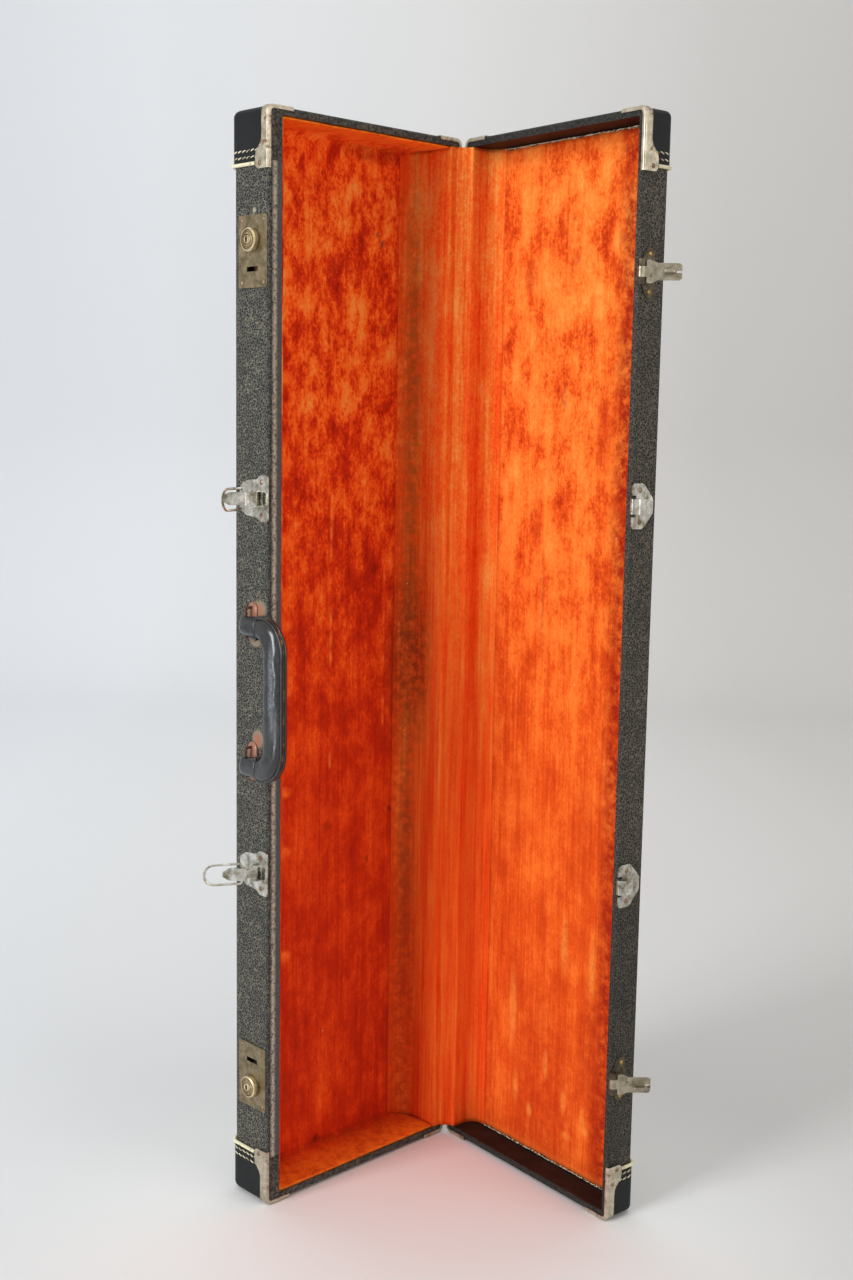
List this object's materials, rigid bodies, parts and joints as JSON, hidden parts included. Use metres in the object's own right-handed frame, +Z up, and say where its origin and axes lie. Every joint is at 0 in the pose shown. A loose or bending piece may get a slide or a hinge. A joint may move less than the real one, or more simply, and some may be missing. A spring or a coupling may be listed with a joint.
{
  "type": "lap steel guitar case",
  "caption": "Slim rectangular hard case for a lap steel guitar, standing open on its end, with a velvet lining, draw latches, key locks and a carrying handle.",
  "frame": {"origin": "middle of the footprint, on the surface that the lower end stands on, in the pictured pose", "axes": "+Z up along the case's length; +X from the base's floor towards its open side; -Y from the hinge towards the base's front wall"},
  "size_m": [0.2798, 0.278, 0.87],
  "materials": {
    "wood": "bare plywood and softwood, hidden",
    "grained_covering": "pebble-grained leatherette paper, worn grey",
    "cap_leatherette": "smooth black leatherette",
    "cream_piping": "cream piping",
    "clamp_nickel": "dull nickel plate with rust",
    "velvet": "crushed orange velvet",
    "bright_nickel": "bright nickel plate",
    "tarnished_nickel": "tarnished nickel plate",
    "hasp_nickel": "worn pale nickel plate",
    "plain_steel": "steel with light rust",
    "handle_leather": "glossy black padded leather"
  },
  "bodies": {
    "base": {"base_front_board": "wood", "base_back_board": "wood", "base_upper_end_board": "wood", "base_lower_end_board": "wood", "base_floor_panel": "wood", "base_covering": "grained_covering", "base_upper_end_cap": "cap_leatherette", "base_lower_end_cap": "cap_leatherette", "base_upper_piping": "cream_piping", "base_lower_piping": "cream_piping", "base_upper_front_rim_clamp": "clamp_nickel", "base_upper_back_rim_clamp": "clamp_nickel", "base_lower_front_rim_clamp": "clamp_nickel", "base_lower_back_rim_clamp": "clamp_nickel", "base_lining": "velvet", "base_hinge_strip": "velvet", "base_upper_hinge_leaf": "plain_steel", "base_lower_hinge_leaf": "plain_steel", "upper_lock_plate": "tarnished_nickel", "lower_lock_plate": "tarnished_nickel", "upper_lock_case": "plain_steel", "lower_lock_case": "plain_steel", "upper_latch_plate": "bright_nickel", "lower_latch_plate": "bright_nickel", "upper_handle_bracket": "plain_steel", "lower_handle_bracket": "plain_steel"},
    "lid": {"lid_front_board": "wood", "lid_back_board": "wood", "lid_upper_end_board": "wood", "lid_lower_end_board": "wood", "lid_floor_panel": "wood", "lid_covering": "grained_covering", "lid_upper_end_cap": "cap_leatherette", "lid_lower_end_cap": "cap_leatherette", "lid_upper_piping": "cream_piping", "lid_lower_piping": "cream_piping", "lid_upper_front_rim_clamp": "clamp_nickel", "lid_upper_back_rim_clamp": "clamp_nickel", "lid_lower_front_rim_clamp": "clamp_nickel", "lid_lower_back_rim_clamp": "clamp_nickel", "lid_lining": "velvet", "lid_hinge_strip": "velvet", "lid_upper_hinge_leaf": "plain_steel", "lid_lower_hinge_leaf": "plain_steel", "upper_catch_plate": "bright_nickel", "lower_catch_plate": "bright_nickel", "upper_hasp_plate": "hasp_nickel", "lower_hasp_plate": "hasp_nickel"},
    "handle": {"handle_grip": "handle_leather"},
    "upper_hasp": {"upper_hasp": "hasp_nickel"},
    "upper_latch_lever": {"upper_latch_lever": "bright_nickel"},
    "upper_latch_bail": {"upper_latch_bail": "bright_nickel"},
    "upper_lock_barrel": {"upper_lock_barrel": "tarnished_nickel"},
    "upper_lock_bolt": {"upper_lock_bolt": "plain_steel"},
    "lower_hasp": {"lower_hasp": "hasp_nickel"},
    "lower_latch_lever": {"lower_latch_lever": "bright_nickel"},
    "lower_latch_bail": {"lower_latch_bail": "bright_nickel"},
    "lower_lock_barrel": {"lower_lock_barrel": "tarnished_nickel"},
    "lower_lock_bolt": {"lower_lock_bolt": "plain_steel"}
  },
  "joints": [
    {"name": "lid_hinge", "type": "hinge", "parent": "base", "child": "lid", "pos_m": [-0.08994, 0.10631, 0.435], "axis": [0, 0, 1], "range_deg": [-84.5, 95.5]},
    {"name": "handle_swing", "type": "hinge", "parent": "base", "child": "handle", "pos_m": [-0.10994, -0.10559, 0.4225], "axis": [0, 0, 1], "range_deg": [-172, 0]},
    {"name": "upper_latch_swing", "type": "hinge", "parent": "base", "child": "upper_latch_lever", "pos_m": [-0.10254, -0.10179, 0.5774], "axis": [0, 0, 1], "range_deg": [-60, 30]},
    {"name": "upper_bail_swing", "type": "hinge", "parent": "upper_latch_lever", "child": "upper_latch_bail", "pos_m": [-0.10764, -0.11062, 0.5774], "axis": [0, 0, 1], "range_deg": [-63, 126]},
    {"name": "upper_hasp_swing", "type": "hinge", "parent": "lid", "child": "upper_hasp", "pos_m": [0.11661, 0.08642, 0.7506], "axis": [0, 0, 1], "range_deg": [-140, 35]},
    {"name": "upper_key_turn", "type": "hinge", "parent": "base", "child": "upper_lock_barrel", "pos_m": [-0.10994, -0.09759, 0.7721], "axis": [0, 1, 0], "range_deg": [-90, 0]},
    {"name": "upper_bolt_slide", "type": "slide", "parent": "base", "child": "upper_lock_bolt", "axis": [0, 0, 1], "range_m": [-0.006, 0]},
    {"name": "lower_latch_swing", "type": "hinge", "parent": "base", "child": "lower_latch_lever", "pos_m": [-0.10254, -0.10179, 0.2798], "axis": [0, 0, 1], "range_deg": [-60, 30]},
    {"name": "lower_bail_swing", "type": "hinge", "parent": "lower_latch_lever", "child": "lower_latch_bail", "pos_m": [-0.10764, -0.11062, 0.2798], "axis": [0, 0, 1], "range_deg": [-90, 180]},
    {"name": "lower_hasp_swing", "type": "hinge", "parent": "lid", "child": "lower_hasp", "pos_m": [0.11661, 0.08642, 0.1194], "axis": [0, 0, 1], "range_deg": [-140, 35]},
    {"name": "lower_key_turn", "type": "hinge", "parent": "base", "child": "lower_lock_barrel", "pos_m": [-0.10994, -0.09759, 0.0979], "axis": [0, -1, 0], "range_deg": [-90, 0]},
    {"name": "lower_bolt_slide", "type": "slide", "parent": "base", "child": "lower_lock_bolt", "axis": [0, 0, -1], "range_m": [-0.006, 0]}
  ],
  "couplings": [
    {"joint": "upper_bail_swing", "follows": "upper_latch_swing", "ratio": -2.1},
    {"joint": "upper_key_turn", "follows": "upper_bolt_slide", "rad_per_m": 261.8},
    {"joint": "lower_bail_swing", "follows": "lower_latch_swing", "ratio": -3},
    {"joint": "lower_key_turn", "follows": "lower_bolt_slide", "rad_per_m": 261.8}
  ]
}
